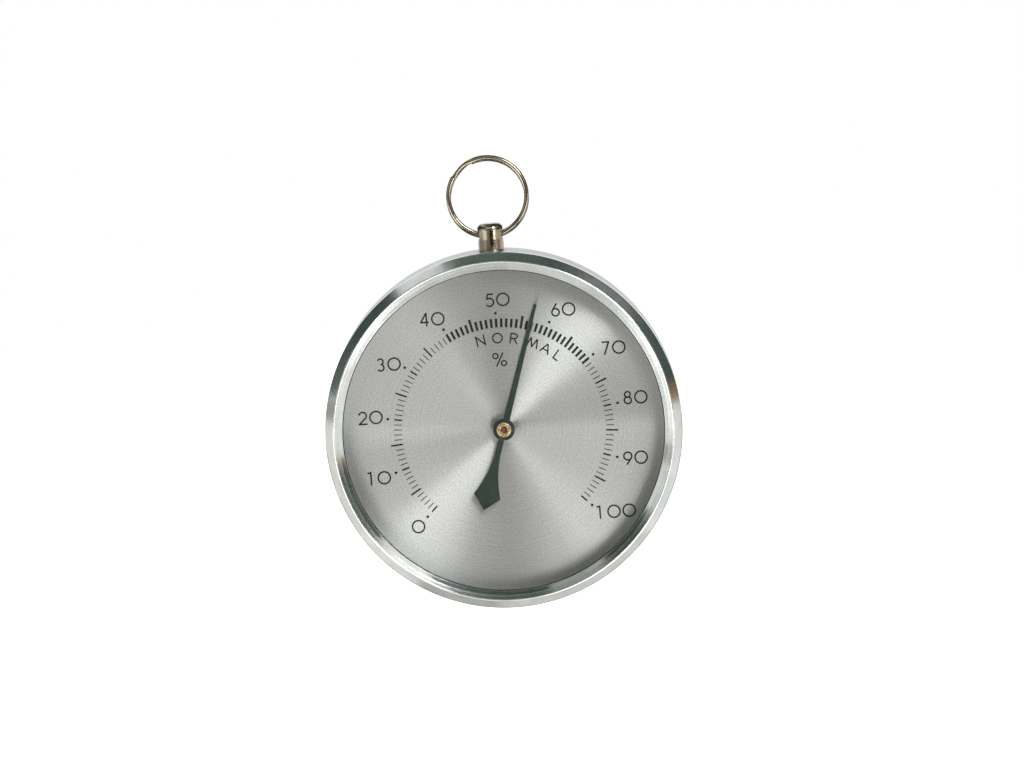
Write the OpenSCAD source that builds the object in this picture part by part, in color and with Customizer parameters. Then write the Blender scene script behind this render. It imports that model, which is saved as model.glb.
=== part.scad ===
// Round hair hygrometer in a metal case, hung from a split ring.
// Millimetres. The dial faces -Y, +Z is up, and the origin is the middle of the flat back face.
// Inside facing(), x is right and y is up as seen from the front, and z is the height above the back.

/* [Case cup] */
// Diameter over the bezel, the widest part
bezel_d = 102; // [98:0.5:108]
// Depth of the cup, from its back face to its rim
cup_depth = 19.9; // [19.5:0.1:26]
// Wall of the cup's side
cup_wall = 1.2; // [1.1:0.05:1.6]
// Thickness of the cup's back
back_t = 1.5; // [1.3:0.1:2]
// Rounding of the edge between side and back
cup_round = 1.5; // [0.5:0.1:2]
// How far the cup's side stands back from the bezel's side
cup_step = 0.2; // [0.1:0.05:0.3]
// Number of air holes on the outer circle, half as many lie on the inner one
vent_n = 12; // [8:2:16]
// Diameter of an air hole
vent_d = 3.6; // [2.5:0.1:3.9]
// Distance from the cup's side to the outer circle of air holes
vent_inset = 23.8; // [20:0.2:26]
// Distance between the two circles of air holes
vent_row_gap = 12; // [9:0.5:13]

/* [Bezel and glass] */
// Height of the ridge above the cup's rim
crest_rise = 3.1; // [2.8:0.1:4]
// Width of the flank that falls outwards
outer_flank_w = 2.5; // [2:0.1:3.2]
// Height of the flank that falls outwards
outer_flank_h = 2.8; // [2.2:0.1:3.2]
// Width of the flank that falls inwards
inner_flank_w = 2.5; // [2:0.1:3.2]
// Height of the flank that falls inwards
inner_flank_h = 2.2; // [1.8:0.1:2.4]
// Rounding of the ridge
crest_round = 0.35; // [0.15:0.05:0.6]
// Thickness of the bezel's skirt, which slips over the cup's neck
skirt_t = 0.6; // [0.4:0.05:0.7]
// Length of the skirt below the cup's rim
skirt_h = 2.3; // [1.5:0.1:4]
// Thickness of the lip that holds the glass
lip_t = 0.35; // [0.25:0.05:0.5]
// Thickness of the gasket between lip and glass
gasket_t = 0.3; // [0.2:0.05:0.5]
// How far the gasket shows inside the lip
gasket_show = 0.25; // [0:0.05:0.4]
// Thickness of the glass
glass_t = 1.3; // [1:0.1:1.6]

/* [Dial and pointer] */
// Relative humidity that the pointer shows at rest, in percent
reading = 56.7; // [0:0.1:100]
// Angle of the whole scale, from 0 to 100
scale_deg = 270; // [240:1:280]
// Clear height between dial and glass
dial_gap = 2.85; // [2.7:0.05:4]
// Thickness of the dial
dial_t = 0.8; // [0.5:0.05:1]
// Inner radius of the spacer ring beyond the bezel's lip
spacer_step = 0.1; // [0:0.05:1]
// Length of the pointer's blade from the spindle to its tip
blade_l = 37; // [30:0.5:42]
// Width of the blade at the hub
blade_w = 2; // [1.4:0.05:2.4]
// Width of the blade's tip
blade_tip_w = 0.95; // [0.4:0.05:1.2]
// Diameter of the pointer's hub disc
hub_d = 6.3; // [5:0.1:8]
// Length of the tail from the spindle to its point
tail_l = 23.8; // [21:0.1:30]
// Distance from the spindle to the tail's shoulders
tail_shoulder_l = 19.8; // [17:0.1:20.5]
// Half width of the tail at its shoulders
tail_half_w = 3.9; // [3:0.1:5]
// Width of the tail's neck
tail_neck_w = 1.7; // [1.2:0.05:2.2]
// Distance from the spindle at which the tail starts to widen
tail_neck_l = 6.3; // [5:0.1:8]
// Thickness of the pointer
pointer_t = 0.3; // [0.2:0.05:0.4]
// Height of the pointer's underside above the dial
pointer_rise = 1.3; // [1:0.05:1.5]
// Diameter of the brass bush in the pointer
bush_d = 4.15; // [3.6:0.05:5]
// Height of the bush's head above the dial
bush_rise = 2.5; // [2.2:0.05:2.6]
// Diameter of the dimple in the bush's head
dimple_d = 2.2; // [1.6:0.1:2.8]
// Depth of the dimple
dimple_h = 0.6; // [0.3:0.05:0.7]

/* [Movement] */
// Thickness of the movement plate
plate_t = 1.2; // [1:0.1:1.5]
// Clear ring between the movement plate and the cup's side
plate_margin = 5.6; // [4.5:0.1:7]
// Height of the standoffs that carry the dial
standoff_h = 2; // [1.8:0.1:2.5]
// Diameter of the case pillars and standoffs
pillar_d = 5; // [4:0.1:6]
// Distance from the movement plate's edge to the pillar axes
pillar_inset = 4; // [3.2:0.1:5]
// Diameter of the screws and studs in the pillars
pillar_thread_d = 2; // [1.6:0.1:2.5]
// Clear height between the cup's back and the rear bridge
bridge_rise = 2.1; // [1.8:0.1:2.5]
// Thickness of the rear bridge
bridge_t = 1.2; // [1:0.1:1.5]
// Width of the rear bridge
bridge_w = 6; // [5:0.1:8]
// Half distance between the bridge pillars
bridge_half = 15; // [12:0.5:20]
// Diameter of the bridge pillars
bridge_pillar_d = 4; // [3.4:0.1:5]
// Diameter of the spindle
spindle_d = 1.2; // [1:0.05:1.4]
// Diameter of the spindle's rear pivot
pivot_d = 0.7; // [0.5:0.05:0.8]
// Diameter of the spindle's nose, which carries the pointer
nose_d = 0.9; // [0.7:0.05:0.95]
// Diameter of the front bush
front_bush_d = 3.2; // [2.6:0.1:4]
// Diameter of the rear bush
rear_bush_d = 3.2; // [2.6:0.1:4]
// Number of turns in the hairspring
spring_turns = 5; // [3:1:6]
// Outer radius of the hairspring
spring_outer_r = 5.4; // [4.5:0.1:6]
// Thickness of the hairspring's strip
spring_t = 0.12; // [0.08:0.01:0.16]
// Height of the hairspring's strip
spring_h = 0.6; // [0.4:0.05:0.8]
// Diameter of the hairspring's collet
collet_d = 2.6; // [2.2:0.1:3]

/* [Hair] */
// Diameter of the hair bundle
hair_d = 0.3; // [0.2:0.02:0.4]
// Distance of the hair behind the movement plate
hair_drop = 4; // [3.6:0.1:4.4]
// Radius of the spool's core
spool_core_r = 0.45; // [0.35:0.01:0.55]
// Radius of the spool's flanges
spool_flange_r = 1.5; // [1.2:0.1:2]
// Degrees of hair on the spool at rest
spool_wrap = 220; // [160:5:300]
// Place of the guide roller, to the right of the spindle
roller_x = -20; // [-22:0.5:-16]
// Distance of the guide roller below the movement plate's upper edge
roller_inset = 11; // [10:0.5:14]
// Radius of the guide roller
roller_r = 2.6; // [2.3:0.1:3.2]
// Depth of the guide roller's groove
groove_h = 0.6; // [0.4:0.05:0.8]
// Diameter of the pin that the roller turns on
roller_pin_d = 1.2; // [1:0.1:1.6]
// Length of the ferrule on the hair's end
ferrule_l = 2.5; // [2:0.1:4]
// Diameter of the ferrule
ferrule_d = 1.4; // [1.1:0.1:1.8]

/* [Adjuster] */
// Place of the adjusting stud, to the right of the spindle
adjust_x = -10; // [-12:0.5:-6]
// Distance of the adjusting stud above the movement plate's lower edge
adjust_inset = 6; // [5:0.5:9]
// Diameter of the stud's slotted head
adjust_head_d = 4; // [3.5:0.1:4.6]
// Height of the stud's head
adjust_head_h = 2.4; // [2:0.1:3]
// Diameter of the stud's shank
adjust_shank_d = 3; // [2.6:0.1:3.4]
// Diameter of the stud where it turns in the movement plate
adjust_journal_d = 2.4; // [2:0.1:2.5]
// Width of the adjusting arm
arm_w = 3; // [2.4:0.1:4]
// Thickness of the adjusting arm
arm_t = 0.8; // [0.6:0.1:1]
// Width of the screwdriver slots
slot_w = 0.6; // [0.4:0.05:0.8]

/* [Hanger] */
// Height of the stem's axis above the back face
stem_y = 6; // [5.6:0.1:8]
// Diameter of the stem at its foot
stem_foot_d = 7.3; // [6.6:0.1:8]
// Diameter of the stem near its top
stem_top_d = 7.6; // [7.2:0.1:8.4]
// How far the stem stands out of the cup
stem_h = 7.5; // [6.6:0.1:9]
// Rounding of the stem's top
stem_round = 1.7; // [0.8:0.1:1.9]
// Distance from the stem's top to the hole for the ring
eye_drop = 3.3; // [3.2:0.1:4]
// Diameter of the hole for the ring
eye_d = 3.9; // [3.8:0.05:4.2]
// Diameter of the stem's threaded shank
shank_d = 4; // [3:0.1:5]
// Width over the flats of the stem's nut
nut_w = 7; // [6:0.1:7.2]
// Thickness of the stem's nut
nut_h = 2.4; // [2:0.1:3]
// Diameter of the washer inside the cup
washer_d = 7.8; // [7.3:0.1:8.2]
// Outer diameter of the split ring
ring_d = 23.7; // [22:0.1:28]
// Diameter of the ring's wire
wire_d = 1.4; // [1.2:0.05:1.45]
// Gap between the ring's two turns
turn_gap = 0.42; // [0.41:0.01:0.45]
// How far the rear turn hangs below the front one
turn_slip = 0.5; // [0:0.05:0.55]
// Turns of wire in the ring
ring_turns = 1.9; // [1.8:0.01:1.91]
// Direction of the bend from one turn to the other, anticlockwise from the right
jog_at = 129; // [60:1:140]
// Angle over which the wire crosses from one turn to the other
jog_deg = 30; // [24:1:50]

/* [Clearances] */
// Radial gap of a pressed or screwed seat
seat_gap = 0.02; // [0.01:0.005:0.03]
// Radial gap of a running fit
run_gap = 0.04; // [0.02:0.01:0.08]
// Gap between the ends of turning pieces
end_gap = 0.1; // [0.05:0.01:0.15]
// Gap round pieces that lie loose in the cup
loose_gap = 0.3; // [0.2:0.05:0.5]

/* [Hidden] */
$fn = 96;
// How far a cut runs past a face, and how far two shapes of one piece run into each other
eps = 1;
join = 0.5;

// Radii of the case
bezel_r = bezel_d / 2;
cup_r = bezel_r - cup_step;
neck_r = bezel_r - skirt_t - seat_gap;
cup_in_r = cup_r - cup_wall;
crest_r = bezel_r - outer_flank_w;
lip_r = crest_r - inner_flank_w;
pocket_r = cup_in_r - loose_gap;
glass_r = pocket_r - loose_gap / 2;
dial_r = cup_in_r - loose_gap;
plate_r = cup_in_r - plate_margin;
pillar_circle_r = plate_r - pillar_inset;
vent_circle_r = cup_r - vent_inset;
vent_inner_r = vent_circle_r - vent_row_gap;

// Heights above the back face, from the bezel's ridge down to the hair
crest_z = cup_depth + crest_rise;
flank_foot_z = crest_z - outer_flank_h;
skirt_z = cup_depth - skirt_h;
lip_z = crest_z - inner_flank_h;
seat_z = lip_z - lip_t;
glass_top_z = seat_z - gasket_t;
glass_z = glass_top_z - glass_t;
dial_z = glass_z - dial_gap;
dial_back_z = dial_z - dial_t;
plate_top_z = dial_back_z - standoff_h;
plate_z = plate_top_z - plate_t;
bridge_z = back_t + bridge_rise;
bridge_top_z = bridge_z + bridge_t;
hair_z = plate_z - hair_drop;

// Pillars, screws and their holes
pillar_angles = [60, 180, 300];
thread_r = pillar_thread_d / 2;
hole_r = thread_r + seat_gap;
thread_l = 3.5;
sink_r = 1.9;
sink_h = 1.1;
screw_slot_h = 0.5;
bridge_thread_r = 0.95;
bridge_thread_l = 3;
bridge_head_r = 1.7;
bridge_head_h = 0.9;
spigot_r = 1.2;

// Bushes and spindle
spindle_r = spindle_d / 2;
pivot_r = pivot_d / 2;
nose_r = nose_d / 2;
front_bush_r = front_bush_d / 2;
front_flange_r = front_bush_r + 0.9;
front_flange_h = 0.6;
bush_nose_z = dial_z - 0.1;
dial_hole_r = front_bush_r + 0.2;
rear_bush_r = rear_bush_d / 2;
rear_bush_drop = 0.4;
pointer_z = dial_z + pointer_rise;
pointer_top_z = pointer_z + pointer_t;
bush_foot_z = dial_z + 0.3;
bush_top_z = dial_z + bush_rise;
bush_neck_r = 1.2;
bush_edge = 0.2;
rest_deg = (reading / 100 - 0.5) * scale_deg;
collet_r = collet_d / 2;
collet_top_z = plate_z - front_flange_h - end_gap;
collet_h = 1.4;
spring_z = collet_top_z - (collet_h + spring_h) / 2;
spring_stud_r = 0.8;
spring_stud_at = -60;
spring_stud_circle_r = spring_outer_r + spring_t / 2 + seat_gap + spring_stud_r;
spring_spigot_r = 0.5;
spring_stud_over = 0.2;

// Spool, guide roller and the hair's way round them
hair_r = hair_d / 2;
spool_half_h = 0.4;
spool_flange_t = 0.3;
groove_half_h = 0.25;
groove_flare = 0.2;
groove_r = roller_r - groove_h;
roller_half_h = 0.7;
roller_pin_r = roller_pin_d / 2;
roller_shoulder_r = roller_pin_r + 0.9;
roller_clip_t = 0.4;
roller_pin_end = 0.3;
roller_clip_r = roller_pin_r + 0.9;
spool_way_r = spool_core_r + hair_r + seat_gap;
roller_way_r = groove_r + hair_r + seat_gap;
roller_y = plate_r - roller_inset;
roller_at = [roller_x, roller_y];
hair_lean = atan2(roller_y, roller_x) - acos((spool_way_r - roller_way_r) / norm(roller_at));
hair_x = roller_x - roller_way_r;

// Adjusting arm, stud and ferrule
adjust_y = adjust_inset - plate_r;
tab_t = 0.8;
tab_w = 2.4;
tab_drop = 1;
arm_z = hair_z + tab_drop;
arm_hub_r = 2.2;
hair_hole_r = hair_r + 0.2;
ferrule_top_y = adjust_y - tab_t / 2;
hair_tuck = 0.5;
hair_end_y = ferrule_top_y - ferrule_l + hair_tuck;
adjust_r = adjust_shank_d / 2;
journal_r = adjust_journal_d / 2;
adjust_head_z = 0.5;
adjust_hole_r = adjust_head_d / 2 + loose_gap;
adjust_slot_h = 0.9;
friction_t = 0.25;
clip_t = 0.5;
clip_r = journal_r + 1;
clip_z = plate_top_z + run_gap + friction_t;
stud_end = 0.2;

// Windows in the movement plate
window_r = 8;
window_inset = 18;
window_circle_r = plate_r - window_inset;
window_angles = [45, 135, 225, 315];

// Stem, nut and split ring
stem_top = cup_r + stem_h;
eye_h = stem_top - eye_drop;
eye_r = eye_d / 2;
eye_sink = 0.15;
stem_flare_h = 2.8;
shank_r = shank_d / 2;
washer_flat = 1;
washer_in_h = cup_in_r - washer_flat;
nut_top_h = washer_in_h;
shank_over = 0.6;
shank_end_h = nut_top_h - nut_h - shank_over;
wire_r = wire_d / 2;
ring_r = ring_d / 2 - wire_r;
turn_pitch = wire_d + turn_gap;
ring_sag = ring_r - sqrt(ring_r * ring_r - stem_foot_d * stem_foot_d / 4);
ring_h = eye_h + ring_r - ring_sag / 2;
ring_steps = 96;
ring_sides = 12;

// A frame in which x is right, y is up and z points out of the dial
module facing() {
  rotate([90, 0, 0]) children();
}

// A disc or ring between two heights
module ring_of(outer, inner, z0, z1) {
  translate([0, 0, z0]) difference() {
    cylinder(r = outer, h = z1 - z0);
    if (inner > 0) translate([0, 0, -eps]) cylinder(r = inner, h = z1 - z0 + 2 * eps);
  }
}

// A solid turned from an outline of [radius, height] points
module turned(outline) {
  rotate_extrude() polygon(outline);
}

// A hole between two heights, cut a little past both
module hole(r, z0, z1) {
  translate([0, 0, z0 - eps]) cylinder(r = r, h = z1 - z0 + 2 * eps);
}

// The children at each pillar
module at_pillars() {
  for (a = pillar_angles) rotate([0, 0, a]) translate([pillar_circle_r, 0, 0]) children();
}

// The children at each end of the rear bridge
module at_bridge_ends() {
  for (side = [-1, 1]) translate([side * bridge_half, 0, 0]) children();
}

// A screwdriver slot sunk from a height, on a face that looks to the back
module slot(r, z, h) {
  translate([-r - eps, -slot_w / 2, z - eps]) cube([2 * (r + eps), slot_w, h + eps]);
}

// Points of an arc of radius r that rounds the corner p between the points a and b
function rounded_corner(a, p, b, r, steps = 6) =
  let (
    u = (a - p) / norm(a - p),
    v = (b - p) / norm(b - p),
    half = acos(u * v) / 2,
    mid = (u + v) / norm(u + v),
    c = p + mid * r / sin(half),
    t0 = p + u * r / tan(half) - c,
    t1 = p + v * r / tan(half) - c,
    a0 = atan2(t0[1], t0[0]),
    turn = atan2(t0[0] * t1[1] - t0[1] * t1[0], t0 * t1))
  [for (i = [0 : steps]) c + r * [cos(a0 + turn * i / steps), sin(a0 + turn * i / steps)]];

// A tube along a list of points, with its sides set out from the direction up
module swept(points, r, sides, up) {
  last = len(points) - 1;
  rings = [
    for (i = [0 : last])
      let (
        way = points[min(i + 1, last)] - points[max(i - 1, 0)],
        across = cross(way, up) / norm(cross(way, up)),
        over = cross(across, way) / norm(way))
      for (k = [0 : sides - 1])
        points[i] + r * (cos(360 * k / sides) * across + sin(360 * k / sides) * over)];
  walls = [
    for (i = [0 : last - 1], k = [0 : sides - 1])
      let (a = i * sides + k, b = i * sides + (k + 1) % sides)
      each [[a, b, b + sides], [a, b + sides, a + sides]]];
  start_cap = [for (k = [sides - 1 : -1 : 0]) k];
  end_cap = [for (k = [0 : sides - 1]) last * sides + k];
  polyhedron(rings, concat(walls, [start_cap, end_cap]));
}

// The cup: side, back and neck, with its air holes, screw holes and stem hole
module case_cup() {
  color("silver") difference() {
    facing() difference() {
      rotate_extrude() difference() {
        union() {
          translate([0, cup_round]) square([cup_r, skirt_z - cup_round]);
          square([cup_r - cup_round, skirt_z]);
          translate([cup_r - cup_round, cup_round]) circle(r = cup_round);
          square([neck_r, cup_depth]);
        }
        translate([0, back_t]) square([cup_in_r, cup_depth]);
        translate([-2 * cup_r, -eps]) square([2 * cup_r, cup_depth + 2 * eps]);
      }
      for (i = [0 : vent_n - 1]) rotate([0, 0, (i + 0.5) * 360 / vent_n])
        translate([vent_circle_r, 0, 0]) hole(vent_d / 2, 0, back_t);
      for (i = [0 : vent_n / 2 - 1]) rotate([0, 0, i * 720 / vent_n])
        translate([vent_inner_r, 0, 0]) hole(vent_d / 2, 0, back_t);
      at_pillars() hole(hole_r, 0, back_t);
      at_pillars() screw_sink(seat_gap);
      translate([adjust_x, adjust_y, 0]) hole(adjust_hole_r, 0, back_t);
    }
    translate([0, -stem_y, cup_in_r - eps]) cylinder(r = shank_r + seat_gap, h = cup_wall + 2 * eps);
  }
}

// The cone of a countersunk head in the back face, larger all round by a gap
module screw_sink(gap) {
  cylinder(r1 = sink_r + gap, r2 = thread_r + gap, h = sink_h);
}

// The bezel: skirt, outer flank, ridge, inner flank and the lip over the glass
module bezel() {
  foot = [bezel_r, flank_foot_z];
  crest = [crest_r, crest_z];
  lip = [lip_r, lip_z];
  color("gainsboro") facing() turned(concat(
    [[neck_r + seat_gap, skirt_z], [bezel_r, skirt_z]],
    rounded_corner([bezel_r, skirt_z], foot, crest, crest_round),
    rounded_corner(foot, crest, lip, crest_round),
    [lip, [lip_r, seat_z], [pocket_r, seat_z], [pocket_r, cup_depth], [neck_r + seat_gap, cup_depth]]));
}

// The gasket between the bezel's lip and the glass
module glass_gasket() {
  color("dimgray") facing() ring_of(glass_r, lip_r - gasket_show, glass_top_z, seat_z);
}

// The glass
module glass() {
  color([0.85, 0.93, 0.92, 0.3]) facing() ring_of(glass_r, 0, glass_z, glass_top_z);
}

// The ring that keeps glass and dial apart
module spacer_ring() {
  color("darkslategray") facing() ring_of(dial_r, lip_r + spacer_step, dial_z, glass_z);
}

// The dial, with the hole for the front bush
module dial_plate() {
  color("lightgray") facing() ring_of(dial_r, dial_hole_r, dial_back_z, dial_z);
}

// Three pillars from the cup's back to the movement plate, bored from both ends
module case_pillars() {
  color("goldenrod") facing() at_pillars() difference() {
    ring_of(pillar_d / 2, 0, back_t, plate_z);
    hole(hole_r, back_t, back_t + thread_l);
    hole(hole_r, plate_z - thread_l, plate_z);
  }
}

// Three countersunk screws, flush with the back face
module pillar_screws() {
  color("silver") facing() at_pillars() difference() {
    union() {
      screw_sink(0);
      cylinder(r = thread_r, h = back_t + thread_l);
    }
    slot(sink_r, 0, screw_slot_h);
  }
}

// Three standoffs that clamp the movement plate and carry the dial
module dial_standoffs() {
  color("goldenrod") facing() at_pillars() union() {
    ring_of(pillar_d / 2, 0, plate_top_z, dial_back_z);
    ring_of(thread_r, 0, plate_z - thread_l + join, plate_top_z + join);
  }
}

// The movement plate, with windows that let the air through
module movement_plate() {
  color("darkkhaki") facing() difference() {
    ring_of(plate_r, front_bush_r + seat_gap, plate_z, plate_top_z);
    at_pillars() hole(hole_r, plate_z, plate_top_z);
    at_bridge_ends() hole(spigot_r + seat_gap, plate_z, plate_top_z);
    for (a = window_angles) rotate([0, 0, a])
      translate([window_circle_r, 0, 0]) hole(window_r, plate_z, plate_top_z);
    translate(roller_at) hole(roller_pin_r + seat_gap, plate_z, plate_top_z);
    translate([adjust_x, adjust_y, 0]) hole(journal_r + run_gap, plate_z, plate_top_z);
    at_spring_stud() hole(spring_spigot_r + seat_gap, plate_z, plate_top_z);
  }
}

// The bar that holds the rear bush
module rear_bridge() {
  color("darkkhaki") facing() difference() {
    union() {
      translate([-bridge_half, -bridge_w / 2, bridge_z]) cube([2 * bridge_half, bridge_w, bridge_t]);
      at_bridge_ends() ring_of(bridge_w / 2, 0, bridge_z, bridge_top_z);
    }
    at_bridge_ends() hole(bridge_thread_r + seat_gap, bridge_z, bridge_top_z);
    hole(rear_bush_r + seat_gap, bridge_z, bridge_top_z);
  }
}

// Two pillars riveted into the movement plate, bored for the bridge screws
module bridge_pillars() {
  color("goldenrod") facing() at_bridge_ends() difference() {
    union() {
      ring_of(bridge_pillar_d / 2, 0, bridge_top_z, plate_z);
      ring_of(spigot_r, 0, plate_z - join, plate_top_z);
    }
    hole(bridge_thread_r + seat_gap, bridge_top_z, bridge_top_z + bridge_thread_l);
  }
}

// Two cheese-head screws behind the rear bridge
module bridge_screws() {
  color("steelblue") facing() at_bridge_ends() difference() {
    union() {
      ring_of(bridge_head_r, 0, bridge_z - bridge_head_h, bridge_z);
      ring_of(bridge_thread_r, 0, bridge_z - join, bridge_top_z + bridge_thread_l);
    }
    slot(bridge_head_r, bridge_z - bridge_head_h, screw_slot_h);
  }
}

// The front bearing, whose nose stands in the dial's hole
module front_bush() {
  color("gold") facing() difference() {
    union() {
      ring_of(front_flange_r, 0, plate_z - front_flange_h, plate_z);
      ring_of(front_bush_r, 0, plate_z - join, bush_nose_z);
    }
    hole(spindle_r + run_gap, plate_z - front_flange_h, bush_nose_z);
  }
}

// The rear bearing, blind behind the pivot
module rear_bush() {
  color("gold") facing() difference() {
    ring_of(rear_bush_r, 0, bridge_z - rear_bush_drop, bridge_top_z);
    hole(pivot_r + run_gap, bridge_z + eps, bridge_top_z);
  }
}

// The spindle: rear pivot, spool, body and nose, turned in one
module spindle() {
  pivot_end = bridge_z + end_gap;
  spool_low = hair_z - spool_half_h;
  spool_high = hair_z + spool_half_h;
  color("slategray") facing() turned([
    [0, pivot_end], [pivot_r, pivot_end],
    [pivot_r, bridge_top_z + end_gap], [spindle_r, bridge_top_z + end_gap],
    [spindle_r, spool_low - spool_flange_t], [spool_flange_r, spool_low - spool_flange_t],
    [spool_flange_r, spool_low], [spool_core_r, spool_low],
    [spool_core_r, spool_high], [spool_flange_r, spool_high],
    [spool_flange_r, spool_high + spool_flange_t], [spindle_r, spool_high + spool_flange_t],
    [spindle_r, bush_foot_z], [nose_r, bush_foot_z],
    [nose_r, bush_top_z - dimple_h], [0, bush_top_z - dimple_h]]);
}

// One side of the tail's outline, from its neck to its shoulder along a hollow arc
function tail_side(side, steps = 10) =
  let (
    rise = tail_half_w - tail_neck_w / 2,
    run = tail_shoulder_l - tail_neck_l,
    arc_r = (rise * rise + run * run) / (2 * rise),
    sweep = asin(run / arc_r))
  [for (i = [0 : steps]) let (a = sweep * i / steps)
    [side * (tail_neck_w / 2 + arc_r * (1 - cos(a))), -tail_neck_l - arc_r * sin(a)]];

// The pointer: blade, hub disc and spade tail in one sheet
module pointer() {
  left = tail_side(-1);
  blade = [[-blade_w / 2, 0], [-blade_tip_w / 2, blade_l], [blade_tip_w / 2, blade_l], [blade_w / 2, 0]];
  tail = concat(tail_side(1), [[0, -tail_l]], [for (i = [len(left) - 1 : -1 : 0]) left[i]]);
  color([0.12, 0.16, 0.15]) facing() rotate([0, 0, -rest_deg]) difference() {
    union() {
      ring_of(hub_d / 2, 0, pointer_z, pointer_top_z);
      translate([0, 0, pointer_z]) linear_extrude(pointer_t) polygon(concat(blade, tail));
    }
    hole(bush_neck_r + seat_gap, pointer_z, pointer_top_z);
  }
}

// The bush riveted into the pointer, with the dimple in its head
module pointer_bush() {
  foot_r = bush_neck_r + 0.6;
  head_r = bush_d / 2;
  bore_r = nose_r + seat_gap;
  color("peru") facing() turned([
    [bore_r, bush_foot_z], [foot_r, bush_foot_z], [foot_r, pointer_z],
    [bush_neck_r, pointer_z], [bush_neck_r, pointer_top_z], [head_r, pointer_top_z],
    [head_r, bush_top_z - bush_edge], [head_r - bush_edge, bush_top_z],
    [dimple_d / 2, bush_top_z], [bore_r, bush_top_z - dimple_h]]);
}

// The hairspring: a flat spiral from the collet to the stud
module hairspring() {
  r0 = collet_r + spring_t / 2 + seat_gap;
  steps = 24 * spring_turns;
  function at(i, side) =
    let (
      a = spring_stud_at - 360 * spring_turns * (1 - i / steps),
      r = r0 + (spring_outer_r - r0) * i / steps + side * spring_t / 2)
    r * [cos(a), sin(a)];
  color("royalblue") facing() translate([0, 0, spring_z]) linear_extrude(spring_h)
    polygon(concat([for (i = [0 : steps]) at(i, 1)], [for (i = [steps : -1 : 0]) at(i, -1)]));
}

// The collet that grips the spindle and holds the hairspring's inner end
module hairspring_collet() {
  color("gold") facing()
    ring_of(collet_r, spindle_r + seat_gap, collet_top_z - collet_h, collet_top_z);
}

// The children at the hairspring stud
module at_spring_stud() {
  rotate([0, 0, spring_stud_at]) translate([spring_stud_circle_r, 0, 0]) children();
}

// The stud that holds the hairspring's outer end
module hairspring_stud() {
  color("gold") facing() at_spring_stud() union() {
    ring_of(spring_stud_r, 0, spring_z - spring_stud_over, plate_z);
    ring_of(spring_spigot_r, 0, plate_z - join, plate_top_z);
  }
}

// The hair bundle: on the spool, up to the guide roller, round it and down to the ferrule
module hair_bundle() {
  function round_at(c, r, a) = [c[0] + r * cos(a), c[1] + r * sin(a), hair_z];
  on_spool = [for (a = [hair_lean - spool_wrap : 20 : hair_lean]) round_at([0, 0], spool_way_r, a)];
  on_roller = [for (i = [0 : 8]) round_at(roller_at, roller_way_r, hair_lean + (180 - hair_lean) * i / 8)];
  way = concat(on_spool, on_roller, [[hair_x, hair_end_y, hair_z]]);
  color("saddlebrown") facing() swept(way, hair_r, 6, [0, 0, 1]);
}

// The crimped ferrule on the hair's fixed end
module hair_ferrule() {
  color("gold") facing() translate([hair_x, ferrule_top_y, hair_z]) rotate([90, 0, 0])
    ring_of(ferrule_d / 2, hair_r + seat_gap, 0, ferrule_l);
}

// The grooved roller that turns the hair back
module guide_roller() {
  bore_r = roller_pin_r + run_gap;
  low = hair_z - roller_half_h;
  high = hair_z + roller_half_h;
  color("ivory") facing() translate(roller_at) turned([
    [bore_r, low], [roller_r, low], [roller_r, hair_z - groove_half_h - groove_flare],
    [groove_r, hair_z - groove_half_h], [groove_r, hair_z + groove_half_h],
    [roller_r, hair_z + groove_half_h + groove_flare], [roller_r, high], [bore_r, high]]);
}

// The shouldered pin that the roller turns on, riveted into the movement plate
module roller_pin() {
  shoulder_z = hair_z + roller_half_h + end_gap;
  end_z = hair_z - roller_half_h - end_gap - roller_clip_t - roller_pin_end;
  color("slategray") facing() translate(roller_at) turned([
    [0, end_z], [roller_pin_r, end_z], [roller_pin_r, shoulder_z],
    [roller_shoulder_r, shoulder_z], [roller_shoulder_r, plate_z],
    [roller_pin_r, plate_z], [roller_pin_r, plate_top_z], [0, plate_top_z]]);
}

// The clip that keeps the roller on its pin
module roller_clip() {
  top_z = hair_z - roller_half_h - end_gap;
  color("silver") facing() translate(roller_at)
    ring_of(roller_clip_r, roller_pin_r + seat_gap, top_z - roller_clip_t, top_z);
}

// The adjusting arm: hub on the stud, flat bar, and a tab bent back that the hair passes through
module adjusting_arm() {
  color("silver") facing() difference() {
    union() {
      translate([adjust_x, adjust_y, 0]) ring_of(arm_hub_r, 0, arm_z, plate_z - end_gap);
      translate([hair_x - tab_w / 2, adjust_y - tab_t / 2, arm_z])
        linear_extrude(arm_t) polygon([
          [0, 0], [0, tab_t], [tab_w, (tab_t + tab_w) / 2],
          [adjust_x - hair_x + tab_w / 2, (tab_t + arm_w) / 2],
          [adjust_x - hair_x + tab_w / 2, (tab_t - arm_w) / 2], [tab_w, (tab_t - tab_w) / 2]]);
      translate([hair_x - tab_w / 2, adjust_y - tab_t / 2, hair_z - tab_drop])
        cube([tab_w, tab_t, arm_z + arm_t - hair_z + tab_drop]);
    }
    translate([adjust_x, adjust_y, 0]) hole(journal_r + seat_gap, arm_z, plate_z);
    translate([hair_x, adjust_y + tab_t, hair_z]) rotate([90, 0, 0])
      cylinder(r = hair_hole_r, h = 2 * tab_t);
  }
}

// The adjusting stud: its slotted head stands in a hole in the cup's back
module adjusting_stud() {
  head_top_z = adjust_head_z + adjust_head_h;
  end_z = clip_z + clip_t + stud_end;
  color("slategray") facing() translate([adjust_x, adjust_y, 0]) difference() {
    turned([
      [0, adjust_head_z], [adjust_head_d / 2, adjust_head_z], [adjust_head_d / 2, head_top_z],
      [adjust_r, head_top_z], [adjust_r, arm_z], [journal_r, arm_z], [journal_r, end_z], [0, end_z]]);
    slot(adjust_head_d / 2, adjust_head_z, adjust_slot_h);
  }
}

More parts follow.
